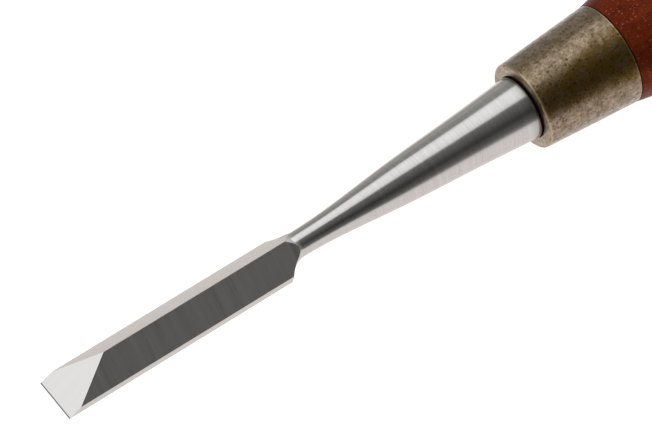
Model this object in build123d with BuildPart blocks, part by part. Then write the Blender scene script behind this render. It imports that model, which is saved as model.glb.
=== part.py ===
from build123d import *
from math import atan, cos, degrees, radians, sin, sqrt
import os

# A ridged bench chisel: ground steel blade, brass ferrule, leather washer and turned wooden handle.
# Millimetres. The origin is the middle of the cutting edge, on the flat back. +X runs along the tool
# from the handle to the cutting edge, +Z stands out of the bevelled side, Y is the blade's width.

os.makedirs("parts", exist_ok=True)

# Blade section and cutting edge
blade_width = 12.0
wall_height = 2.0
ridge_height = 8.2
bevel_angle = 30.0
micro_bevel_angle = 38.0
micro_bevel_length = 0.3

# The blank is turned about an axis that lies this far above the flat back
axis_height = 3.7
stock_radius = 8.0
cove_radius = 6.5
cove_bottom_x = -69.6
cove_bottom_radius = 3.3
neck_middle_x = -98.0
neck_middle_radius = 5.5
neck_upper_x = -117.0
neck_upper_radius = 6.85
bolster_x = -134.4
bolster_radius = 8.25
bolster_chamfer = 0.5
shoulder_x = -135.3

# Where the grinding wheel lifts off the slopes and off the flat back
slope_lift_x = -66.3
slope_wheel_radius = 6.0
back_lift_x = -67.0
back_wheel_radius = 45.0
run_out_length = 4.0
back_run_out_length = 12.0

# Square tapered tang, hidden in the handle
tang_length = 46.0
tang_root_width = 6.2
tang_end_width = 3.2

# Ferrule: a tapered brass thimble with a lip at its mouth
ferrule_front_x = -135.9
ferrule_rear_x = -162.0
ferrule_front_radius = 11.4
ferrule_rear_radius = 13.3
ferrule_mouth_radius = 8.4
ferrule_lip_length = 2.1
bore_front_radius = 9.7
bore_rear_radius = 11.6
mouth_rounding = 0.5
nose_rounding = 0.6
joint_chamfer = 0.15

# Leather washer between the bolster's shoulder and the end of the wood
washer_radius = 7.7
washer_hole_radius = 4.7

# Handle
flare_slope = 0.21
grip_front_x = -188.0
grip_front_radius = 16.4
grip_waist_x = -226.0
grip_waist_radius = 14.6
grip_rear_x = -263.0
grip_rear_radius = 16.2
butt_corner_radius = 8.0
butt_dome_radius = 24.0

# Worked out from the dimensions above
slope_angle = degrees(atan((ridge_height - wall_height) / (blade_width / 2)))
spigot_x = ferrule_front_x - ferrule_lip_length
far = 40.0
tool_axis = Axis((0, 0, axis_height), (1, 0, 0))


def turned(x, radius):
    """A point of a turned outline, above the tool's axis on the plane Y = 0."""
    return (x, axis_height + radius)


def ground_plane(point, normal):
    """A sketch plane along the tool, with its own y pointing out of the surface to be ground."""
    return Plane(origin=point, x_dir=(1, 0, 0), z_dir=Vector(1, 0, 0).cross(Vector(*normal)))


def wheel_run_out(lift_x, wheel_radius, length):
    """What a grinding wheel removes: flat as far as lift_x, then lifting off along the wheel's rim."""
    rise = wheel_radius - sqrt(wheel_radius**2 - length**2)
    half_rise = wheel_radius - sqrt(wheel_radius**2 - length**2 / 4)
    Line((far, 0), (lift_x, 0))
    ThreePointArc((lift_x, 0), (lift_x - length / 2, half_rise), (lift_x - length, rise))
    Polyline((lift_x - length, rise), (lift_x - length, far), (far, far), (far, 0))


with BuildPart() as tang:
    with BuildSketch(Plane.YZ.offset(shoulder_x)):
        with Locations((0, axis_height)):
            Rectangle(tang_root_width, tang_root_width)
    with BuildSketch(Plane.YZ.offset(shoulder_x - tang_length)):
        with Locations((0, axis_height)):
            Rectangle(tang_end_width, tang_end_width)
    loft()


# Blade, neck, bolster and tang are one forging
with BuildPart() as blade:
    # turned blank: a hollow cove of known radius leads from the neck up to the stock
    cove_centre_radius = cove_bottom_radius + cove_radius
    cove_end_angle = atan(
        (cove_centre_radius - stock_radius) / sqrt(cove_radius**2 - (cove_centre_radius - stock_radius) ** 2)
    )
    cove_middle_angle = (radians(90) + cove_end_angle) / 2
    cove_bottom = turned(cove_bottom_x, cove_bottom_radius)
    cove_middle = turned(
        cove_bottom_x + cove_radius * cos(cove_middle_angle),
        cove_centre_radius - cove_radius * sin(cove_middle_angle),
    )
    cove_end = turned(cove_bottom_x + cove_radius * cos(cove_end_angle), stock_radius)
    with BuildSketch(Plane.XZ):
        with BuildLine():
            Polyline((0, axis_height), turned(0, stock_radius), cove_end)
            ThreePointArc(cove_end, cove_middle, cove_bottom)
            Spline(
                cove_bottom,
                turned(neck_middle_x, neck_middle_radius),
                turned(neck_upper_x, neck_upper_radius),
                turned(bolster_x, bolster_radius),
                tangents=[(-1, 0), (-1, 0.085)],
            )
            Polyline(
                turned(bolster_x, bolster_radius),
                turned(shoulder_x, bolster_radius - bolster_chamfer),
                (shoulder_x, axis_height),
                (0, axis_height),
            )
        make_face()
    revolve(axis=tool_axis)

    # side walls
    with BuildSketch(Plane.XY):
        with GridLocations(0, blade_width + far, 1, 2):
            Rectangle(-2 * cove_bottom_x, far)
    extrude(amount=far, both=True, mode=Mode.SUBTRACT)

    # the two slopes that meet at the ridge
    for side in (1, -1):
        normal = (0, side * sin(radians(slope_angle)), cos(radians(slope_angle)))
        with BuildSketch(ground_plane((0, 0, ridge_height), normal)):
            with BuildLine():
                wheel_run_out(slope_lift_x, slope_wheel_radius, run_out_length)
            make_face()
        extrude(amount=far, both=True, mode=Mode.SUBTRACT)

    # flat back
    with BuildSketch(ground_plane((0, 0, 0), (0, 0, -1))):
        with BuildLine():
            wheel_run_out(back_lift_x, back_wheel_radius, back_run_out_length)
        make_face()
    extrude(amount=far, both=True, mode=Mode.SUBTRACT)

    # bevel, with the small honed bevel at the very edge
    honed_top = (
        -micro_bevel_length * cos(radians(micro_bevel_angle)),
        micro_bevel_length * sin(radians(micro_bevel_angle)),
    )
    bevel_top = (
        honed_top[0] - far * cos(radians(bevel_angle)),
        honed_top[1] + far * sin(radians(bevel_angle)),
    )
    with BuildSketch(Plane.XZ):
        with BuildLine():
            Polyline((0, 0), honed_top, bevel_top, (far, bevel_top[1]), (far, 0), close=True)
        make_face()
    extrude(amount=far, both=True, mode=Mode.SUBTRACT)

    add(tang.part)
blade.part.label = "blade"


with BuildPart() as leather_washer:
    with BuildSketch(Plane.YZ.offset(spigot_x)):
        with Locations((0, axis_height)):
            Circle(washer_radius)
            Circle(washer_hole_radius, mode=Mode.SUBTRACT)
    extrude(amount=shoulder_x - spigot_x)
leather_washer.part.label = "leather_washer"


with BuildPart() as ferrule:
    with BuildSketch(Plane.XZ):
        with BuildLine():
            outline = Polyline(
                turned(ferrule_front_x, ferrule_mouth_radius),
                turned(ferrule_front_x, ferrule_front_radius),
                turned(ferrule_rear_x, ferrule_rear_radius),
                turned(ferrule_rear_x, bore_rear_radius),
                turned(spigot_x, bore_front_radius),
                turned(spigot_x, ferrule_mouth_radius),
                close=True,
            )
        make_face()
        mouth_corner, nose_corner, rear_corner = (
            outline.vertices().sort_by_distance(Vector(*turned(x, radius)))[0]
            for x, radius in (
                (ferrule_front_x, ferrule_mouth_radius),
                (ferrule_front_x, ferrule_front_radius),
                (ferrule_rear_x, ferrule_rear_radius),
            )
        )
        fillet(mouth_corner, radius=mouth_rounding)
        fillet(nose_corner, radius=nose_rounding)
        chamfer(rear_corner, length=joint_chamfer)
    revolve(axis=tool_axis)
ferrule.part.label = "ferrule"


# The butt's dome and its rounded corner touch inside one another
dome_centre_x = grip_rear_x + sqrt(
    (butt_dome_radius - butt_corner_radius) ** 2 - (grip_rear_radius - butt_corner_radius) ** 2
)
touch_share = butt_dome_radius / (butt_dome_radius - butt_corner_radius)
dome_start = turned(
    dome_centre_x + touch_share * (grip_rear_x - dome_centre_x),
    touch_share * (grip_rear_radius - butt_corner_radius),
)

with BuildPart() as handle:
    with BuildSketch(Plane.XZ):
        with BuildLine():
            Polyline(
                (spigot_x, axis_height),
                turned(spigot_x, bore_front_radius),
                turned(ferrule_rear_x, bore_rear_radius),
                turned(ferrule_rear_x, ferrule_rear_radius - joint_chamfer),
                turned(ferrule_rear_x - joint_chamfer, ferrule_rear_radius),
            )
            Spline(
                turned(ferrule_rear_x - joint_chamfer, ferrule_rear_radius),
                turned(grip_front_x, grip_front_radius),
                turned(grip_waist_x, grip_waist_radius),
                turned(grip_rear_x, grip_rear_radius),
                tangents=[(-1, flare_slope), (-1, 0)],
            )
            corner = TangentArc(turned(grip_rear_x, grip_rear_radius), dome_start, tangent=(-1, 0))
            TangentArc(dome_start, (dome_centre_x - butt_dome_radius, axis_height), tangent=corner % 1)
            Line((dome_centre_x - butt_dome_radius, axis_height), (spigot_x, axis_height))
        make_face()
    revolve(axis=tool_axis)
    add(tang.part, mode=Mode.SUBTRACT)
handle.part.label = "handle"


for piece in (blade, leather_washer, ferrule, handle):
    export_step(piece.part, f"parts/{piece.part.label}.step")
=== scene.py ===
import math

import bmesh
import bpy
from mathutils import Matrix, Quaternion, Vector


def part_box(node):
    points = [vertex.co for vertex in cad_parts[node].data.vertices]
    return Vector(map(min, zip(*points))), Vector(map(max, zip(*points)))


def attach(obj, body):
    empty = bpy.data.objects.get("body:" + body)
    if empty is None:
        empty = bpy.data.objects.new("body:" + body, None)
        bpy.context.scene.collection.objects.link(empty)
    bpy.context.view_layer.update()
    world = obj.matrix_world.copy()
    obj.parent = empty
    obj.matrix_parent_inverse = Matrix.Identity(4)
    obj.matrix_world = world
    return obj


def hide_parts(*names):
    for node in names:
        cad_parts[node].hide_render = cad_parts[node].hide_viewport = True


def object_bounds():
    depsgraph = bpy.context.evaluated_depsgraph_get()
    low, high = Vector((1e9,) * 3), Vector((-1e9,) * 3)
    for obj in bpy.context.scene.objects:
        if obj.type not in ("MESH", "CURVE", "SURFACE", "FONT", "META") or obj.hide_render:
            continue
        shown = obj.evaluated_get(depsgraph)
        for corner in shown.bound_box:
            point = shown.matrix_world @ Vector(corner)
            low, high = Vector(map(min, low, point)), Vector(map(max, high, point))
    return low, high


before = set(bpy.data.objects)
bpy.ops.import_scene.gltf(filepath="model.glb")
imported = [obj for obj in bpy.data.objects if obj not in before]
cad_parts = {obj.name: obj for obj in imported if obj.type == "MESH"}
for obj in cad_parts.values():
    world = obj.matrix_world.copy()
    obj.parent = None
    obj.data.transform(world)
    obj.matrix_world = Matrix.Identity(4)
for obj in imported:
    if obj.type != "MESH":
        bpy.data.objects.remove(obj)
cad_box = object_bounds()

bl_info = {
    "name": "Ridged Bench Chisel",
    "version": (1, 0, 0),
    "blender": (4, 5, 0),
    "location": "View3D > Sidebar > Chisel",
    "description": "Builds a ridged bench chisel with its ferrule, washer and turned handle",
    "category": "Add Mesh",
}

MM = 0.001
BODY = "root"

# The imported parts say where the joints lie. Distances back from the cutting edge are positive,
# and X is the same distance with a minus sign.
BLADE_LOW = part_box("blade")[0]
FERRULE_LOW, FERRULE_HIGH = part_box("ferrule")
WASHER_LOW, WASHER_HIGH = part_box("leather_washer")
AXIS_HEIGHT = (FERRULE_LOW.z + FERRULE_HIGH.z) / 2
SHOULDER = -WASHER_HIGH.x
SPIGOT = -WASHER_LOW.x
TANG_TIP = -BLADE_LOW.x

# Sizes that two pieces share: half widths of the tang, radii of the spigot, and the chamfers at the wood.
TANG_ROOT_HALF, TANG_TIP_HALF = 3.1 * MM, 1.6 * MM
SPIGOT_FRONT_RADIUS, SPIGOT_REAR_RADIUS = 9.7 * MM, 11.6 * MM
JOINT_CHAMFER = 0.15 * MM

ROUND_SEGMENTS = 256


# ---------------------------------------------------------------- settings


class BladeSettings(bpy.types.PropertyGroup):
    """Sizes and colours of the forged blade, neck and tang."""

    width: bpy.props.FloatProperty(
        name="Width", description="Width of the cutting edge", default=12 * MM, unit="LENGTH"
    )
    wall_height: bpy.props.FloatProperty(
        name="Wall height", description="Height of the flat side walls", default=2 * MM, unit="LENGTH"
    )
    ridge_height: bpy.props.FloatProperty(
        name="Ridge height",
        description="Height of the ridge above the back",
        default=8.2 * MM,
        unit="LENGTH",
    )
    bevel_angle: bpy.props.FloatProperty(
        name="Bevel angle",
        description="Angle of the main bevel",
        default=math.radians(30),
        subtype="ANGLE",
    )
    honed_angle: bpy.props.FloatProperty(
        name="Honed angle",
        description="Angle of the narrow honed bevel",
        default=math.radians(38),
        subtype="ANGLE",
    )
    honed_length: bpy.props.FloatProperty(
        name="Honed length",
        description="Length of the narrow honed bevel",
        default=0.3 * MM,
        unit="LENGTH",
    )
    cove_radius: bpy.props.FloatProperty(
        name="Cove radius",
        description="Radius of the hollow behind the blade",
        default=6.5 * MM,
        unit="LENGTH",
    )
    cove_bottom: bpy.props.FloatProperty(
        name="Cove bottom",
        description="Distance from the edge to the neck's waist",
        default=69.6 * MM,
        unit="LENGTH",
    )
    waist_radius: bpy.props.FloatProperty(
        name="Waist radius",
        description="Radius of the neck at its waist",
        default=3.3 * MM,
        unit="LENGTH",
    )
    bolster_radius: bpy.props.FloatProperty(
        name="Bolster radius",
        description="Largest radius of the neck",
        default=8.25 * MM,
        unit="LENGTH",
    )
    bolster_x: bpy.props.FloatProperty(
        name="Bolster",
        description="Distance from the edge to the bolster's rim",
        default=134.4 * MM,
        unit="LENGTH",
    )
    steel_colour: bpy.props.FloatVectorProperty(
        name="Steel",
        description="Colour of the bare steel",
        default=(0.56, 0.553, 0.548),
        subtype="COLOR",
        size=3,
    )


class FerruleSettings(bpy.types.PropertyGroup):
    """Sizes and colours of the brass ferrule."""

    front_radius: bpy.props.FloatProperty(
        name="Front radius", description="Outer radius at the mouth", default=11.4 * MM, unit="LENGTH"
    )
    rear_radius: bpy.props.FloatProperty(
        name="Rear radius", description="Outer radius at the wood", default=13.3 * MM, unit="LENGTH"
    )
    mouth_radius: bpy.props.FloatProperty(
        name="Mouth radius", description="Radius of the mouth", default=8.4 * MM, unit="LENGTH"
    )
    brass_colour: bpy.props.FloatVectorProperty(
        name="Brass",
        description="Colour of the worn brass",
        default=(0.275, 0.2, 0.12),
        subtype="COLOR",
        size=3,
    )
    # the patina colour is also painted as shade in a streak along one side of the ferrule
    patina_and_shade_colour: bpy.props.FloatVectorProperty(
        name="Patina",
        description="Colour of the dark patina",
        default=(0.13, 0.074, 0.011),
        subtype="COLOR",
        size=3,
    )
    rim_colour: bpy.props.FloatVectorProperty(
        name="Rims",
        description="Colour of the rubbed rims",
        default=(0.42, 0.32, 0.15),
        subtype="COLOR",
        size=3,
    )


class HandleSettings(bpy.types.PropertyGroup):
    """Sizes and colours of the turned handle."""

    front_radius: bpy.props.FloatProperty(
        name="Front swell", description="Radius of the front swell", default=16.4 * MM, unit="LENGTH"
    )
    waist_radius: bpy.props.FloatProperty(
        name="Waist", description="Radius of the waist", default=14.6 * MM, unit="LENGTH"
    )
    rear_radius: bpy.props.FloatProperty(
        name="Rear swell", description="Radius of the rear swell", default=16.2 * MM, unit="LENGTH"
    )
    wood_colour: bpy.props.FloatVectorProperty(
        name="Wood",
        description="Main colour of the wood",
        default=(0.195, 0.025, 0.0065),
        subtype="COLOR",
        size=3,
    )
    streak_colour: bpy.props.FloatVectorProperty(
        name="Streaks",
        description="Colour of the dark grain",
        default=(0.065, 0.0075, 0.0026),
        subtype="COLOR",
        size=3,
    )
    glow_colour: bpy.props.FloatVectorProperty(
        name="Glow",
        description="Colour of the orange patches",
        default=(0.32, 0.05, 0.011),
        subtype="COLOR",
        size=3,
    )
    fleck_colour: bpy.props.FloatVectorProperty(
        name="Flecks",
        description="Colour of the pale flecks",
        default=(0.62, 0.22, 0.11),
        subtype="COLOR",
        size=3,
    )


class StageSettings(bpy.types.PropertyGroup):
    """Camera and light."""

    azimuth: bpy.props.FloatProperty(
        name="Azimuth",
        description="Camera's angle round the tool",
        default=math.radians(144.3),
        subtype="ANGLE",
    )
    elevation: bpy.props.FloatProperty(
        name="Elevation",
        description="Camera's angle above the floor",
        default=math.radians(56.75),
        subtype="ANGLE",
    )
    distance: bpy.props.FloatProperty(
        name="Distance", description="From the camera to the tool", default=1.2231, unit="LENGTH"
    )
    roll: bpy.props.FloatProperty(
        name="Roll",
        description="Turn of the camera about its view",
        default=math.radians(-0.38),
        subtype="ANGLE",
    )
    lens: bpy.props.FloatProperty(
        name="Lens", description="Focal length in millimetres", default=285.8, unit="CAMERA"
    )


class ChiselSettings(bpy.types.PropertyGroup):
    """All the chisel's settings."""

    blade: bpy.props.PointerProperty(type=BladeSettings, name="Blade", description="Blade settings")
    ferrule: bpy.props.PointerProperty(type=FerruleSettings, name="Ferrule", description="Ferrule settings")
    handle: bpy.props.PointerProperty(type=HandleSettings, name="Handle", description="Handle settings")
    stage: bpy.props.PointerProperty(type=StageSettings, name="Stage", description="Stage settings")


# ---------------------------------------------------------------- geometry helpers


def smooth_curve(knots, start_slope, end_slope):
    """The smooth curve through the (distance, radius) knots, with these end slopes, as a function."""
    count = len(knots)
    gaps = [knots[i + 1][0] - knots[i][0] for i in range(count - 1)]
    rises = [(knots[i + 1][1] - knots[i][1]) / gaps[i] for i in range(count - 1)]
    # slopes at the knots, by elimination down and back
    factors = [0.0]
    slopes = [start_slope]
    for i in range(1, count - 1):
        below, above = 1 / gaps[i - 1], 1 / gaps[i]
        pivot = 2 * (below + above) - below * factors[-1]
        factors.append(above / pivot)
        target = 3 * (rises[i - 1] * below + rises[i] * above)
        slopes.append((target - below * slopes[-1]) / pivot)
    slopes.append(end_slope)
    for i in range(count - 2, 0, -1):
        slopes[i] -= factors[i] * slopes[i + 1]

    def at(distance):
        i = min(max(sum(distance >= knot[0] for knot in knots) - 1, 0), count - 2)
        t = (distance - knots[i][0]) / gaps[i]
        return (
            (1 + 2 * t) * (1 - t) ** 2 * knots[i][1]
            + t * (1 - t) ** 2 * gaps[i] * slopes[i]
            + t * t * (3 - 2 * t) * knots[i + 1][1]
            + t * t * (t - 1) * gaps[i] * slopes[i + 1]
        )

    return at


def steps(start, end, size):
    """Evenly spaced values from start to end, no further apart than size."""
    count = max(1, math.ceil(abs(end - start) / size))
    return [start + (end - start) * i / count for i in range(count + 1)]


def arc(centre, radius, start, end, count):
    """Points (along, radius) of an arc, by angles in degrees."""
    return [
        (
            centre[0] + radius * math.cos(math.radians(a)),
            centre[1] + radius * math.sin(math.radians(a)),
        )
        for a in steps(start, end, abs(end - start) / count)
    ]


def new_piece(name, mesh_data, smooth_angle):
    """An object from a bmesh, smooth except across edges sharper than smooth_angle degrees."""
    bmesh.ops.recalc_face_normals(mesh_data, faces=mesh_data.faces)
    mesh = bpy.data.meshes.new(name)
    mesh_data.to_mesh(mesh)
    mesh_data.free()
    for face in mesh.polygons:
        face.use_smooth = True
    mesh.set_sharp_from_angle(angle=math.radians(smooth_angle))
    piece = bpy.data.objects.new(name, mesh)
    bpy.context.scene.collection.objects.link(piece)
    return piece


def loft_rings(mesh_data, rings, closed=False):
    """Faces between rings of points. A ring of one point closes the loft to a tip."""
    made = [[mesh_data.verts.new(point) for point in ring] for ring in rings]
    pairs = list(zip(made, made[1:] + made[:1])) if closed else list(zip(made, made[1:]))
    for near, far in pairs:
        count = max(len(near), len(far))
        for i in range(count):
            j = (i + 1) % count
            corners = [near[i % len(near)], near[j % len(near)], far[j % len(far)], far[i % len(far)]]
            mesh_data.faces.new(list(dict.fromkeys(corners)))


def ring_points(along, radius_at, angles):
    """Points round the tool's axis, at a radius that depends on the angle from +Z towards +Y."""
    return [
        Vector((along, radius_at(a) * math.sin(a), AXIS_HEIGHT + radius_at(a) * math.cos(a)))
        for a in angles
    ]


def on_axis(along):
    """A ring of one point on the tool's axis."""
    return [Vector((along, 0, AXIS_HEIGHT))]


def square(half):
    """Radius by angle of a square of this half width."""
    return lambda a: half / max(abs(math.cos(a)), abs(math.sin(a)))


def tang_section(back):
    """Radius by angle of the square tang at this distance back from the edge."""
    run = (back - SHOULDER) / (TANG_TIP - SHOULDER)
    return square(TANG_ROOT_HALF + (TANG_TIP_HALF - TANG_ROOT_HALF) * run)


def lathe(name, outline, segments, closed, smooth_angle):
    """A piece turned about the tool's axis from (along, radius) points.

    A radius of 0 is a tip on the axis, and a radius may also be a function of the angle.
    """
    angles = [2 * math.pi * i / segments for i in range(segments)]
    rings = []
    for along, radius in outline:
        if radius == 0:
            rings.append(on_axis(along))
            continue
        radius_at = radius if callable(radius) else lambda a, radius=radius: radius
        rings.append(ring_points(along, radius_at, angles))
    mesh_data = bmesh.new()
    loft_rings(mesh_data, rings, closed)
    return new_piece(name, mesh_data, smooth_angle)


def adopt(piece, node, slot, *materials):
    """Puts the finished piece on the frame in place of its plain node."""
    for material in materials:
        piece.data.materials.append(material)
    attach(piece, BODY)
    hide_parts(node)


# ---------------------------------------------------------------- surface effects and materials


def effect_group(name, inputs, outputs):
    """An empty shader group with named inputs and outputs, and its input and output nodes."""
    group = bpy.data.node_groups.new(name, "ShaderNodeTree")
    for label, default in inputs.items():
        kind = "NodeSocketFloat" if isinstance(default, (int, float)) else "NodeSocketVector"
        group.interface.new_socket(label, in_out="INPUT", socket_type=kind).default_value = default
    for label in outputs:
        group.interface.new_socket(label, in_out="OUTPUT", socket_type="NodeSocketFloat")
    return group, group.nodes.new("NodeGroupInput"), group.nodes.new("NodeGroupOutput")


def add_node(tree, kind, links=None, **settings):
    """A node with its properties and socket defaults set, and its named inputs linked."""
    node = tree.nodes.new("ShaderNode" + kind)
    for label, value in settings.items():
        if hasattr(node, label):
            setattr(node, label, value)
        else:
            node.inputs[label.replace("_", " ")].default_value = value
    for label, source in (links or {}).items():
        tree.links.new(source, node.inputs[label])
    return node


def spread(tree, source, low, high, start=0.0, end=1.0):
    """Maps a value between start and end onto low to high, and holds it there beyond them."""
    ends = {"From_Min": start, "From_Max": end, "To_Min": low, "To_Max": high}
    return add_node(tree, "MapRange", {"Value": source}, **ends).outputs["Result"]


def combine(tree, operation, first, second):
    """One sum on two values, each a socket or a number."""
    node = add_node(tree, "Math", operation=operation)
    for socket, value in zip(node.inputs, (first, second)):
        if isinstance(value, bpy.types.NodeSocket):
            tree.links.new(value, socket)
        else:
            socket.default_value = value
    return node.outputs[0]


def scratches_group():
    """Fine drawn-out lines: quick across, slow along, with a broader unevenness under them."""
    group, given, result = effect_group(
        "fine_scratches", {"Stretch": (1000.0, 60.0, 60.0)}, ["Lines", "Cloud"]
    )
    where = add_node(group, "TexCoord").outputs["Object"]
    drawn = add_node(group, "VectorMath", {0: where, 1: given.outputs["Stretch"]}, operation="MULTIPLY")
    fine = add_node(group, "TexNoise", {"Vector": drawn.outputs[0]}, Scale=1.0, Detail=3.0, Roughness=0.7)
    broad = add_node(group, "TexNoise", {"Vector": drawn.outputs[0]}, Scale=0.17, Detail=2.0)
    blend = add_node(group, "Mix", {2: fine.outputs["Fac"], 3: broad.outputs["Fac"]}, Factor=0.4)
    lines = spread(group, blend.outputs[0], 0.0, 1.0, start=0.3, end=0.7)
    group.links.new(lines, result.inputs["Lines"])
    cloud = add_node(group, "TexNoise", {"Vector": where}, Scale=90.0, Detail=3.0)
    group.links.new(cloud.outputs["Fac"], result.inputs["Cloud"])
    return group


def speckle_group():
    """Small scattered spots with soft rims and uneven sizes, drawn out along the tool by Stretch."""
    group, given, result = effect_group(
        "scattered_specks", {"Stretch": (1000.0, 1000.0, 1000.0), "Size": 0.3, "Share": 0.5}, ["Specks"]
    )
    where = add_node(group, "TexCoord").outputs["Object"]
    drawn = add_node(group, "VectorMath", {0: where, 1: given.outputs["Stretch"]}, operation="MULTIPLY")
    cells = add_node(group, "TexVoronoi", {"Vector": drawn.outputs[0]}, Scale=1.0, Randomness=1.0)
    chance = add_node(group, "SeparateColor", {"Color": cells.outputs["Color"]})
    kept = combine(group, "LESS_THAN", chance.outputs["Red"], given.outputs["Share"])
    size = combine(group, "MULTIPLY", chance.outputs["Green"], given.outputs["Size"])
    rim = combine(group, "ADD", size, given.outputs["Size"])
    spot = add_node(
        group,
        "MapRange",
        {"Value": cells.outputs["Distance"], "From Max": rim},
        From_Min=0.0,
        To_Min=1.0,
        To_Max=0.0,
    )
    mask = combine(group, "MULTIPLY", spot.outputs["Result"], kept)
    group.links.new(mask, result.inputs["Specks"])
    return group


def mottle_group():
    """Cloudy patches of two sizes, as a mask from 0 to 1."""
    group, given, result = effect_group(
        "cloudy_mottle", {"Stretch": (150.0, 150.0, 150.0), "Low": 0.35, "High": 0.65}, ["Patches"]
    )
    where = add_node(group, "TexCoord").outputs["Object"]
    drawn = add_node(group, "VectorMath", {0: where, 1: given.outputs["Stretch"]}, operation="MULTIPLY")
    large = add_node(group, "TexNoise", {"Vector": drawn.outputs[0]}, Scale=1.0, Detail=5.0, Roughness=0.65)
    small = add_node(group, "TexNoise", {"Vector": drawn.outputs[0]}, Scale=7.0, Detail=3.0, Roughness=0.6)
    both = add_node(group, "Mix", {2: large.outputs["Fac"], 3: small.outputs["Fac"]}, Factor=0.35)
    limits = {"From Min": given.outputs["Low"], "From Max": given.outputs["High"]}
    mask = add_node(group, "MapRange", {"Value": both.outputs[0], **limits})
    group.links.new(mask.outputs["Result"], result.inputs["Patches"])
    return group


def band_group():
    """A soft band along the tool: 1 at Place, fading to 0 at Width either side."""
    # this band serves real wear on the brass rims, dirt in the wood joint, and painted shade on the steel
    # beside the ferrule
    group, given, result = effect_group("wear_dirt_and_shade_band", {"Place": -0.136, "Width": 0.0008}, ["Wear"])
    where = add_node(group, "SeparateXYZ", {0: add_node(group, "TexCoord").outputs["Object"]})
    offset = combine(group, "SUBTRACT", where.outputs["X"], given.outputs["Place"])
    apart = add_node(group, "Math", {0: offset}, operation="ABSOLUTE")
    fade = add_node(
        group,
        "MapRange",
        {"Value": apart.outputs[0], "From Max": given.outputs["Width"]},
        From_Min=0.0,
        To_Min=1.0,
        To_Max=0.0,
        interpolation_type="SMOOTHSTEP",
    )
    group.links.new(fade.outputs["Result"], result.inputs["Wear"])
    return group


def place_effect(tree, name, **values):
    """Places a shared effect in a material with its own values, building it the first time."""
    makers = {
        "fine_scratches": scratches_group,
        "scattered_specks": speckle_group,
        "cloudy_mottle": mottle_group,
        "wear_dirt_and_shade_band": band_group,
    }
    node = tree.nodes.new("ShaderNodeGroup")
    node.node_tree = bpy.data.node_groups.get(name) or makers[name]()
    for label, value in values.items():
        node.inputs[label].default_value = value
    return node


def mix_colour(tree, factor, first, second, blend="MIX"):
    """Mixes two colours, each a colour or a socket, by a factor socket or number."""
    node = add_node(tree, "Mix", data_type="RGBA", blend_type=blend)
    sockets = [node.inputs["Factor"], node.inputs[6], node.inputs[7]]
    for socket, value in zip(sockets, (factor, first, second)):
        if isinstance(value, bpy.types.NodeSocket):
            tree.links.new(value, socket)
        else:
            socket.default_value = value if isinstance(value, (int, float)) else (*value, 1)
    return node.outputs[2]


def colour_ramp(tree, source, stops, tint):
    """Levels of a tint by a 0 to 1 value, from (position, level) stops."""
    node = add_node(tree, "ValToRGB", {"Fac": source})
    ramp = node.color_ramp.elements
    while len(ramp) < len(stops):
        ramp.new(1)
    for element, (position, level) in zip(ramp, stops):
        element.position = position
        element.color = (*times(tint, level), 1)
    return node.outputs["Color"]


def times(colour, amount):
    """A colour made lighter or darker."""
    return tuple(channel * amount for channel in colour)


def new_material(name):
    """A material with its node tree and its shader."""
    material = bpy.data.materials.new(name)
    material.use_nodes = True
    return material, material.node_tree, material.node_tree.nodes["Principled BSDF"]


def steel_material(name, colour, stretch, contrast, roughness, depth):
    """Finely scratched steel, with faint smudges, and painted shade beside the ferrule standing in for the
    dark reflection of its mouth.

    The scratches vary its colour by contrast, its gloss, and its relief by depth.
    """
    material, tree, shader = new_material(name)
    scratches = place_effect(tree, "fine_scratches", Stretch=stretch)
    dull, keen = times(colour, 1 - contrast), times(colour, 1 + contrast)
    tone = mix_colour(tree, scratches.outputs["Lines"], dull, keen)
    smudges = spread(tree, scratches.outputs["Cloud"], 0.0, 0.12)
    smudged = mix_colour(tree, smudges, tone, times(colour, 0.78))
    # painted shade: the colour darkens towards the washer, standing in for the dark reflection of the
    # washer and the ferrule's mouth in the steel
    mouth_shade = place_effect(tree, "wear_dirt_and_shade_band", Place=WASHER_HIGH.x, Width=2.6 * MM).outputs["Wear"]
    mouth_shaded = mix_colour(tree, spread(tree, mouth_shade, 0.0, 0.4), smudged, times(colour, 0.25))
    tree.links.new(mouth_shaded, shader.inputs["Base Color"])
    gloss = spread(tree, scratches.outputs["Lines"], roughness * 0.82, roughness * 1.22)
    tree.links.new(gloss, shader.inputs["Roughness"])
    bump = add_node(tree, "Bump", {"Height": scratches.outputs["Lines"]}, Strength=1.0, Distance=depth)
    tree.links.new(bump.outputs["Normal"], shader.inputs["Normal"])
    shader.inputs["Metallic"].default_value = 1
    return material


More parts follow.
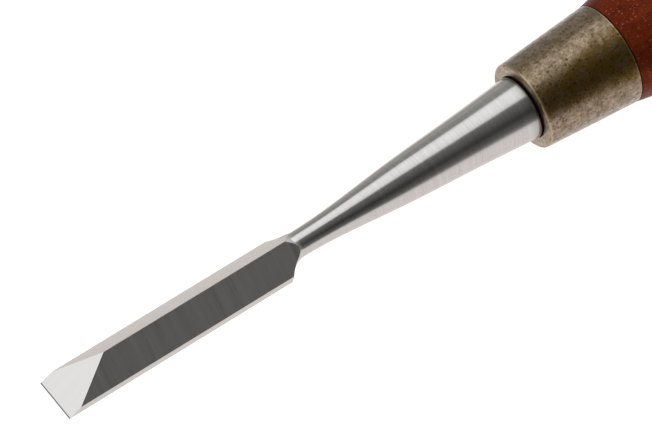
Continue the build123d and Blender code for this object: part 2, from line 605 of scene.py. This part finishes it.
def brass_material(s):
    """Brass under an uneven olive-brown patina with dark pits, worn bright at its two rims, and painted
    shade in patina colour along one side.
    """
    material, tree, shader = new_material("aged_brass")
    patches = place_effect(
        tree, "cloudy_mottle", Stretch=(330, 330, 330), Low=0.44, High=0.58
    ).outputs["Patches"]
    grime = place_effect(
        tree, "cloudy_mottle", Stretch=(1000, 1000, 1000), Low=0.43, High=0.6
    ).outputs["Patches"]
    pits = place_effect(
        tree, "scattered_specks", Stretch=(1050, 1050, 1050), Size=0.3, Share=0.7
    ).outputs["Specks"]
    nose_place = FERRULE_HIGH.x - 0.3 * MM
    nose = place_effect(tree, "wear_dirt_and_shade_band", Place=nose_place, Width=0.45 * MM).outputs["Wear"]
    rim = place_effect(tree, "wear_dirt_and_shade_band", Place=FERRULE_LOW.x, Width=0.6 * MM).outputs["Wear"]
    worn = combine(tree, "MAXIMUM", nose, rim)

    # painted shade: patina colour laid thickest in a soft streak along one side, where the ferrule reflects
    # dark surroundings, measured outwards from the axis
    where = add_node(tree, "TexCoord").outputs["Object"]
    from_axis = add_node(tree, "VectorMath", {0: where}, operation="SUBTRACT")
    from_axis.inputs[1].default_value = (0, 0, AXIS_HEIGHT)
    outward = add_node(tree, "VectorMath", {0: from_axis.outputs[0]}, operation="DOT_PRODUCT")
    shade_side = math.radians(36)
    outward.inputs[1].default_value = (0, math.sin(shade_side), math.cos(shade_side))
    shade_streak = add_node(
        tree,
        "MapRange",
        {"Value": outward.outputs["Value"]},
        From_Min=10.2 * MM,
        From_Max=12.2 * MM,
        To_Min=0.0,
        To_Max=1.0,
        interpolation_type="SMOOTHSTEP",
    ).outputs["Result"]
    patina_and_shade = add_node(tree, "Math", {0: patches, 1: spread(tree, shade_streak, 0.0, 0.55)}, use_clamp=True)
    brass_and_shade = mix_colour(tree, patina_and_shade.outputs[0], s.brass_colour, s.patina_and_shade_colour)
    brass_and_shade = mix_colour(tree, spread(tree, grime, 0.0, 0.6), brass_and_shade, times(s.patina_and_shade_colour, 0.7))
    bright = mix_colour(tree, spread(tree, worn, 0.0, 0.75), brass_and_shade, s.rim_colour)
    pit_colour = (0.02, 0.014, 0.008)
    pitted = mix_colour(tree, spread(tree, pits, 0.0, 0.85), bright, pit_colour)
    tree.links.new(pitted, shader.inputs["Base Color"])
    gloss = combine(tree, "ADD", spread(tree, patches, 0.3, 0.38), spread(tree, grime, -0.03, 0.08))
    tree.links.new(gloss, shader.inputs["Roughness"])
    relief = combine(tree, "ADD", grime, spread(tree, pits, 0.0, -2.0))
    relief = combine(tree, "ADD", relief, spread(tree, patches, 0.0, 1.4))
    bump = add_node(tree, "Bump", {"Height": relief}, Strength=0.7, Distance=0.02 * MM)
    tree.links.new(bump.outputs["Normal"], shader.inputs["Normal"])
    shader.inputs["Metallic"].default_value = 1
    # a thin polish, missing over the grime, the pits and the painted shade streak
    clean = combine(tree, "MULTIPLY", spread(tree, grime, 1.0, 0.45), spread(tree, pits, 1.0, 0.1))
    polish = combine(tree, "MULTIPLY", clean, spread(tree, shade_streak, 0.9, 0.15))
    tree.links.new(polish, shader.inputs["Coat Weight"])
    shader.inputs["Coat IOR"].default_value = 1.9
    shader.inputs["Coat Roughness"].default_value = 0.2
    return material


def leather_material():
    """Dark oiled leather with a pebbled grain."""
    material, tree, shader = new_material("washer_leather")
    grain = place_effect(tree, "scattered_specks", Stretch=(2600, 2600, 2600), Size=0.6, Share=1.0)
    crease, crown = (0.006, 0.005, 0.004), (0.012, 0.009, 0.007)
    tone = mix_colour(tree, grain.outputs["Specks"], crease, crown)
    tree.links.new(tone, shader.inputs["Base Color"])
    bump = add_node(tree, "Bump", {"Height": grain.outputs["Specks"]}, Strength=0.5, Distance=0.05 * MM)
    tree.links.new(bump.outputs["Normal"], shader.inputs["Normal"])
    shader.inputs["Roughness"].default_value = 0.8
    shader.inputs["Specular IOR Level"].default_value = 0.15
    return material


def wood_material(s):
    """Oiled red hardwood: growth bands, long streaks, dark open pores and pale flecks along the grain."""
    material, tree, shader = new_material("red_hardwood")
    where = add_node(tree, "TexCoord").outputs["Object"]
    # growth bands are wide rings about a heart well outside the handle
    heart = (0, 0.03, 0.055)
    from_heart = add_node(tree, "Mapping", {"Vector": where}, Location=heart, Scale=(0.06, 1, 1))
    rings = add_node(
        tree,
        "TexWave",
        {"Vector": from_heart.outputs[0]},
        wave_type="RINGS",
        rings_direction="X",
        Scale=62.0,
        Distortion=5.0,
        Detail=3.0,
        Detail_Scale=1.6,
        Detail_Roughness=0.6,
    ).outputs["Fac"]
    streaks = place_effect(
        tree, "cloudy_mottle", Stretch=(28, 620, 620), Low=0.36, High=0.66
    ).outputs["Patches"]
    tint = place_effect(
        tree, "cloudy_mottle", Stretch=(45, 110, 110), Low=0.3, High=0.7
    ).outputs["Patches"]
    pores = place_effect(
        tree, "scattered_specks", Stretch=(420, 2900, 2900), Size=0.28, Share=0.55
    ).outputs["Specks"]
    flecks = place_effect(
        tree, "scattered_specks", Stretch=(900, 2300, 2300), Size=0.2, Share=0.5
    ).outputs["Specks"]

    base = mix_colour(tree, spread(tree, tint, 0.0, 0.7), s.wood_colour, s.glow_colour)
    base = mix_colour(tree, spread(tree, streaks, 0.0, 0.75), base, s.streak_colour)
    base = mix_colour(tree, spread(tree, rings, 0.0, 0.45), base, s.streak_colour)
    base = mix_colour(tree, spread(tree, flecks, 0.0, 0.75), base, s.fleck_colour)
    base = mix_colour(tree, spread(tree, pores, 0.0, 0.85), base, times(s.streak_colour, 0.3))
    # dirt in the joint with the ferrule
    dirt_colour = (0.008, 0.003, 0.002)
    dirt = place_effect(tree, "wear_dirt_and_shade_band", Place=FERRULE_LOW.x, Width=0.45 * MM).outputs["Wear"]
    base = mix_colour(tree, dirt, base, dirt_colour)
    tree.links.new(base, shader.inputs["Base Color"])
    tree.links.new(spread(tree, streaks, 0.36, 0.48), shader.inputs["Roughness"])
    relief = combine(tree, "ADD", spread(tree, pores, 0.0, -1.0), spread(tree, streaks, 0.0, -0.25))
    bump = add_node(tree, "Bump", {"Height": relief}, Strength=0.7, Distance=0.04 * MM)
    tree.links.new(bump.outputs["Normal"], shader.inputs["Normal"])
    shader.inputs["Specular IOR Level"].default_value = 0.06
    # the grain's own silky sheen, in the colour of the wood
    shader.inputs["Metallic"].default_value = 0.4
    return material


# ---------------------------------------------------------------- blade


def blade_piece(s):
    """The ground blade, its neck, bolster and tang as one lofted forging."""
    slope_angle = math.atan2(s.ridge_height - s.wall_height, s.width / 2)
    # where the wheels leave the slopes and the back, and the wheels' radii
    slope_lift_x, slope_wheel = 66.3 * MM, 6 * MM
    back_lift_x, back_wheel = 67 * MM, 45 * MM
    edge_sharpness = 300
    least_facing = 0.05
    neck_end_slope = 0.085
    neck_knots = [
        (s.cove_bottom, s.waist_radius),
        (98 * MM, 5.5 * MM),
        (117 * MM, 6.85 * MM),
        (s.bolster_x, s.bolster_radius),
    ]
    neck = smooth_curve(neck_knots, 0.0, neck_end_slope)

    def turned_radius(back):
        """Radius of the turned blank at this distance back from the edge."""
        if back >= s.cove_bottom:
            return neck(back)
        ahead = s.cove_bottom - back
        if ahead >= s.cove_radius:
            return s.cove_radius + s.waist_radius
        return s.waist_radius + s.cove_radius - math.sqrt(s.cove_radius**2 - ahead**2)

    def lift(back, lift_x, wheel):
        """How far a grinding wheel has lifted off its plane."""
        run = min(max(back - lift_x, 0.0), wheel)
        return wheel - math.sqrt(wheel**2 - run**2)

    def ground_radius(back, angle):
        """Radius of the ground section by angle, from +Z towards +Y, with slightly softened edges."""
        slope_distance = (s.ridge_height - AXIS_HEIGHT) * math.cos(slope_angle)
        slope_distance += lift(back, slope_lift_x, slope_wheel)
        planes = [
            (slope_angle, slope_distance),
            (-slope_angle, slope_distance),
            (math.pi, AXIS_HEIGHT + lift(back, back_lift_x, back_wheel)),
        ]
        if back < s.cove_bottom:
            planes += [(math.pi / 2, s.width / 2), (-math.pi / 2, s.width / 2)]
        limits = [turned_radius(back)]
        for direction, distance in planes:
            facing = math.cos(angle - direction)
            if facing > least_facing:
                limits.append(distance / facing)
        nearest = min(limits)
        softening = sum((nearest / limit) ** edge_sharpness for limit in limits)
        return nearest * softening ** (-1 / edge_sharpness)

    # a point for every degree, and closer ones at the section's corners
    corners = [0.0]
    for side in (1, -1):
        corners.append(side * math.degrees(math.atan2(s.width / 2, s.wall_height - AXIS_HEIGHT)))
        corners.append(side * math.degrees(math.atan2(s.width / 2, -AXIS_HEIGHT)))
    angles = {round(a, 3) for a in steps(-179, 180, 1)}
    for corner in corners:
        angles |= {round(corner + offset, 3) for offset in steps(-1.2, 1.2, 0.15)}
    angles = [math.radians(a) for a in sorted(angles)]

    def ring(back, radius_at):
        return ring_points(-back, radius_at, angles)

    # the rings are closest where the grinding runs out into the neck
    stations = [-1 * MM, 60 * MM]
    stations += steps(63 * MM, 70.5 * MM, 0.1 * MM)
    stations += steps(70.5 * MM, 77 * MM, 0.3 * MM)[1:]
    stations += steps(77 * MM, s.bolster_x, 1.5 * MM)[1:]
    rings = [ring(back, lambda a, back=back: ground_radius(back, a)) for back in stations]

    # straight on to a tightly rounded rim that hangs a little past the shoulder, then the square tang
    rim_round, undercut = 0.08 * MM, 120
    rim_start = SHOULDER + 0.04 * MM
    rim_radius = s.bolster_radius + neck_end_slope * (rim_start - s.bolster_x)
    for turn in steps(0, undercut, 15):
        back = rim_start + rim_round * math.sin(math.radians(turn))
        radius = rim_radius - rim_round * (1 - math.cos(math.radians(turn)))
        rings.append(ring(back, lambda a, radius=radius: radius))
    hollow_radius = (WASHER_HIGH.y - WASHER_LOW.y) / 2 + 0.05 * MM
    rings.append(ring(SHOULDER, lambda a: hollow_radius))
    rings.append(ring(SHOULDER, tang_section(SHOULDER)))
    rings.append(ring(TANG_TIP, tang_section(TANG_TIP)))
    rings.append(on_axis(-TANG_TIP))

    mesh_data = bmesh.new()
    loft_rings(mesh_data, rings)

    # bevel, then the narrow honed bevel, each cut by a plane and closed with one flat face
    satin_slot, bevel_slot, honed_slot = 1, 2, 3
    edge = Vector()
    honed_top = Vector((-math.cos(s.honed_angle), 0, math.sin(s.honed_angle))) * s.honed_length
    for point, angle, slot in (
        (honed_top, s.bevel_angle, bevel_slot),
        (edge, s.honed_angle, honed_slot),
    ):
        cut = bmesh.ops.bisect_plane(
            mesh_data,
            geom=mesh_data.verts[:] + mesh_data.edges[:] + mesh_data.faces[:],
            plane_co=point,
            plane_no=(math.sin(angle), 0, math.cos(angle)),
            clear_outer=True,
        )
        cut_edges = [e for e in cut["geom_cut"] if isinstance(e, bmesh.types.BMEdge)]
        filled = bmesh.ops.contextual_create(mesh_data, geom=cut_edges)
        for face in filled["faces"]:
            face.material_index = slot

    # what is still turned is satin, and the rest is left as ground, in the first slot
    turned_margin = 0.03 * MM
    all_turned_x = slope_lift_x + 3 * MM
    for face in mesh_data.faces:
        if face.material_index:
            continue
        centre = face.calc_center_median()
        radius = math.hypot(centre.y, centre.z - AXIS_HEIGHT)
        if radius > turned_radius(-centre.x) - turned_margin or -centre.x > all_turned_x:
            face.material_index = satin_slot
    return new_piece("chisel_blade", mesh_data, 25)


class CHISEL_OT_add_blade(bpy.types.Operator):
    """Add the forged steel blade with its neck, bolster and tang"""

    bl_idname = "chisel.add_blade"
    bl_label = "Add Blade"

    def execute(self, context):
        s = context.scene.chisel.blade
        piece = blade_piece(s)
        # each finish by its scratches, their contrast, the roughness, and the scratches' depth
        steel = s.steel_colour
        across, around, along = (2600, 32, 32), (3600, 32, 32), (60, 2600, 60)
        ground = steel_material("ground_steel", steel, across, 0.07, 0.3, 0.001 * MM)
        satin = steel_material("satin_steel", times(steel, 0.95), around, 0.13, 0.19, 0.004 * MM)
        bevel = steel_material("bevel_steel", times(steel, 1.07), along, 0.04, 0.12, 0.0006 * MM)
        honed = steel_material("honed_steel", steel, along, 0.04, 0.08, 0.0004 * MM)
        adopt(piece, "blade", "ground_steel", ground, satin, bevel, honed)
        return {"FINISHED"}


# ---------------------------------------------------------------- washer


class CHISEL_OT_add_washer(bpy.types.Operator):
    """Add the leather washer between the bolster and the wood"""

    bl_idname = "chisel.add_washer"
    bl_label = "Add Washer"

    def execute(self, context):
        outer = (WASHER_HIGH.y - WASHER_LOW.y) / 2
        hole = 4.7 * MM
        edge = 0.3 * MM
        front, rear = WASHER_HIGH.x, WASHER_LOW.x
        outline = arc((front - edge, outer - edge), edge, 0, 90, 5)
        outline += arc((rear + edge, outer - edge), edge, 90, 180, 5)
        outline += [(rear, hole), (front, hole)]
        piece = lathe("leather_washer_ring", outline, ROUND_SEGMENTS // 2, True, 40)
        adopt(piece, "leather_washer", "washer_leather", leather_material())
        return {"FINISHED"}


# ---------------------------------------------------------------- ferrule


class CHISEL_OT_add_ferrule(bpy.types.Operator):
    """Add the tapered brass ferrule"""

    bl_idname = "chisel.add_ferrule"
    bl_label = "Add Ferrule"

    def execute(self, context):
        s = context.scene.chisel.ferrule
        front, rear = FERRULE_HIGH.x, FERRULE_LOW.x
        taper = math.degrees(math.atan2(s.rear_radius - s.front_radius, front - rear))
        mouth_round, nose_round = 0.18 * MM, 0.5 * MM
        # the nose's arc touches the flat front and comes close to touching the taper
        inset = math.tan(math.radians(45 + taper / 2)) - math.radians(taper)
        nose_centre = (front - nose_round, s.front_radius - nose_round * inset)
        outline = arc((front - mouth_round, s.mouth_radius + mouth_round), mouth_round, 270, 360, 8)
        outline += arc(nose_centre, nose_round, 0, 90 - taper, 8)
        # chamfer at the wood, bore over the spigot, then the lip over the washer
        chamfer_top = s.rear_radius - 0.01 * MM
        outline += [(rear + JOINT_CHAMFER, chamfer_top), (rear, s.rear_radius - JOINT_CHAMFER)]
        outline += [(rear, SPIGOT_REAR_RADIUS), (-SPIGOT, SPIGOT_FRONT_RADIUS)]
        outline += [(-SPIGOT, s.mouth_radius)]
        piece = lathe("brass_ferrule", outline, ROUND_SEGMENTS, True, 30)
        adopt(piece, "ferrule", "aged_brass", brass_material(s))
        return {"FINISHED"}


# ---------------------------------------------------------------- handle


class CHISEL_OT_add_handle(bpy.types.Operator):
    """Add the turned wooden handle"""

    bl_idname = "chisel.add_handle"
    bl_label = "Add Handle"

    def execute(self, context):
        s = context.scene.chisel.handle
        joint_x = -FERRULE_LOW.x
        joint_radius = context.scene.chisel.ferrule.rear_radius
        grip_start = joint_x + JOINT_CHAMFER
        rear_x, corner, dome = 263 * MM, 8 * MM, 24 * MM
        grip_start_slope = 0.21
        grip_knots = [
            (grip_start, joint_radius),
            (188 * MM, s.front_radius),
            (226 * MM, s.waist_radius),
            (rear_x, s.rear_radius),
        ]
        grip = smooth_curve(grip_knots, grip_start_slope, 0.0)
        # a square socket that the tang fills, then the spigot, the joint and the grip
        outline = [(-TANG_TIP, 0)]
        outline += [(-back, tang_section(back)) for back in (TANG_TIP, SPIGOT)]
        outline += [(-SPIGOT, SPIGOT_FRONT_RADIUS), (-joint_x, SPIGOT_REAR_RADIUS)]
        outline += [(-joint_x, joint_radius - JOINT_CHAMFER)]
        outline += [(-back, grip(back)) for back in steps(grip_start, rear_x, 1 * MM)]
        # rounded corner, then the dome that it touches inside
        dome_centre = rear_x - math.sqrt((dome - corner) ** 2 - (s.rear_radius - corner) ** 2)
        touch = math.degrees(math.atan2(s.rear_radius - corner, rear_x - dome_centre))
        outline += arc((-rear_x, s.rear_radius - corner), corner, 90, 180 - touch, 16)[1:]
        outline += arc((-dome_centre, 0), dome, 180 - touch, 180, 24)[1:-1]
        outline.append((-dome_centre - dome, 0))
        piece = lathe("wooden_handle", outline, ROUND_SEGMENTS, False, 30)
        adopt(piece, "handle", "red_hardwood", wood_material(s))
        return {"FINISHED"}


# ---------------------------------------------------------------- stage


class CHISEL_OT_add_stage(bpy.types.Operator):
    """Add the floor, the studio light and the camera"""

    bl_idname = "chisel.add_stage"
    bl_label = "Add Stage"

    def execute(self, context):
        s = context.scene.chisel.stage
        scene = context.scene
        scene.view_settings.view_transform = "Standard"

        # a lit white table, seen only from above, whose light fades away from the tool in reflections
        mesh_data = bmesh.new()
        floor_half = 20
        bmesh.ops.create_grid(mesh_data, x_segments=1, y_segments=1, size=floor_half)
        floor = new_piece("studio_floor", mesh_data, 30)
        floor.location.z = cad_box[0].z
        material, tree, shader = new_material("studio_floor")
        shader.inputs["Base Color"].default_value = (0.3, 0.29, 0.285, 1)
        shader.inputs["Roughness"].default_value = 1
        shader.inputs["Specular IOR Level"].default_value = 0
        shader.inputs["Emission Strength"].default_value = 1
        place = add_node(tree, "SeparateXYZ", {0: add_node(tree, "TexCoord").outputs["Object"]})
        # the stops are distances across the table, counted from 0.2 m on the -Y side of the tool
        across = combine(tree, "ADD", place.outputs["Y"], 0.2)
        table_stops = ((0.135, 0.3), (0.155, 0.86), (0.2, 0.92), (0.32, 0.9), (0.6, 0.6), (1.0, 0.25))
        table_tint = (1, 0.935, 0.905)
        fade = colour_ramp(tree, across, table_stops, table_tint)
        path = add_node(tree, "LightPath")
        table_white = (0.97, 0.97, 0.97)
        seen = mix_colour(tree, path.outputs["Is Camera Ray"], fade, table_white)
        tree.links.new(seen, shader.inputs["Emission Color"])
        clear = add_node(tree, "BsdfTransparent")
        side = add_node(tree, "NewGeometry")
        faces = {0: side.outputs["Backfacing"], 1: shader.outputs["BSDF"], 2: clear.outputs["BSDF"]}
        mix = add_node(tree, "MixShader", faces)
        tree.links.new(mix.outputs["Shader"], tree.nodes["Material Output"].inputs["Surface"])
        floor.data.materials.append(material)

        # one large softbox above, leaning to the -Y side
        light = bpy.data.lights.new("softbox", "AREA")
        light.shape = "RECTANGLE"
        light.size, light.size_y = 2.15, 1.0
        # this power makes its face exactly as bright as plain white
        light.energy = math.pi * light.size * light.size_y
        softbox = bpy.data.objects.new("softbox", light)
        scene.collection.objects.link(softbox)
        tilt = math.radians(22.7)
        middle = -0.125
        softbox.location = (middle, -math.sin(tilt), math.cos(tilt))
        softbox.rotation_euler = (tilt, 0, 0)
        softbox.visible_camera = False

        # the room: dark on the +Y side, lighter low down and overhead, grey on the -Y side,
        # brighter past both ends of the tool, and plain white where it is seen directly
        world = bpy.data.worlds.new("studio")
        scene.world = world
        world.use_nodes = True
        tree = world.node_tree
        room = tree.nodes["Background"]
        way = add_node(tree, "SeparateXYZ", {0: add_node(tree, "TexCoord").outputs["Generated"]})
        height_stops = ((0.05, 0.26), (0.2, 0.11), (0.4, 0.085), (0.52, 0.03), (0.66, 0.03), (0.95, 0.15))
        white = (1, 1, 1)
        total = colour_ramp(tree, way.outputs["Z"], height_stops, white)
        minus_y_side = spread(tree, way.outputs["Y"], 0.28, 0.0, start=-0.5, end=0.1)
        far_end = spread(tree, way.outputs["X"], 0.55, 0.0, start=-0.9, end=-0.5)
        handle_end = spread(tree, way.outputs["X"], 0.09, 0.0, start=-0.5, end=-0.1)
        # the light past the cutting edge comes from high up on the +Y side only
        edge_end = spread(tree, way.outputs["X"], 0.0, 0.36, start=-0.1, end=0.3)
        plus_y_side = spread(tree, way.outputs["Y"], 0.0, 1.0, start=-0.2, end=0.1)
        high_up = spread(tree, way.outputs["Z"], 0.0, 1.0, start=0.45, end=0.65)
        opening = combine(tree, "MULTIPLY", edge_end, combine(tree, "MULTIPLY", plus_y_side, high_up))
        for part in (minus_y_side, far_end, handle_end, opening):
            total = combine(tree, "ADD", total, part)
        black, warm_white = (0, 0, 0), (1.0, 0.985, 0.94)
        warm = mix_colour(tree, total, black, warm_white)
        tree.links.new(warm, room.inputs["Color"])
        backdrop = add_node(tree, "Background", Color=(*white, 1))
        path = add_node(tree, "LightPath")
        sights = {
            0: path.outputs["Is Camera Ray"],
            1: room.outputs["Background"],
            2: backdrop.outputs["Background"],
        }
        mix = add_node(tree, "MixShader", sights)
        tree.links.new(mix.outputs["Shader"], tree.nodes["World Output"].inputs["Surface"])

        camera = bpy.data.objects.new("camera", bpy.data.cameras.new("camera"))
        scene.collection.objects.link(camera)
        camera.data.lens = s.lens
        camera.data.clip_end = 50
        aim = Vector((-79.36, -2.25, AXIS_HEIGHT / MM)) * MM
        away = Vector(
            (
                math.sin(s.azimuth) * math.cos(s.elevation),
                -math.cos(s.azimuth) * math.cos(s.elevation),
                math.sin(s.elevation),
            )
        )
        camera.location = aim + away * s.distance
        camera.rotation_mode = "QUATERNION"
        camera.rotation_quaternion = (-away).to_track_quat("-Z", "Y") @ Quaternion((0, 0, 1), s.roll)
        scene.camera = camera
        return {"FINISHED"}


# ---------------------------------------------------------------- add-on


class CHISEL_PT_panel(bpy.types.Panel):
    """Lists the chisel's pieces and its stage"""

    bl_idname = "CHISEL_PT_panel"
    bl_label = "Chisel"
    bl_space_type = "VIEW_3D"
    bl_region_type = "UI"
    bl_category = "Chisel"

    def draw(self, context):
        for operator in PIECES:
            self.layout.operator(operator.bl_idname)


PIECES = (
    CHISEL_OT_add_blade,
    CHISEL_OT_add_washer,
    CHISEL_OT_add_ferrule,
    CHISEL_OT_add_handle,
    CHISEL_OT_add_stage,
)
CLASSES = (
    BladeSettings,
    FerruleSettings,
    HandleSettings,
    StageSettings,
    ChiselSettings,
    *PIECES,
    CHISEL_PT_panel,
)


def register():
    for cls in CLASSES:
        bpy.utils.register_class(cls)
    bpy.types.Scene.chisel = bpy.props.PointerProperty(type=ChiselSettings)


def unregister():
    del bpy.types.Scene.chisel
    for cls in reversed(CLASSES):
        bpy.utils.unregister_class(cls)


def main():
    register()
    bpy.ops.chisel.add_blade()
    bpy.ops.chisel.add_washer()
    bpy.ops.chisel.add_ferrule()
    bpy.ops.chisel.add_handle()
    bpy.ops.chisel.add_stage()


if __name__ == "__main__":
    main()
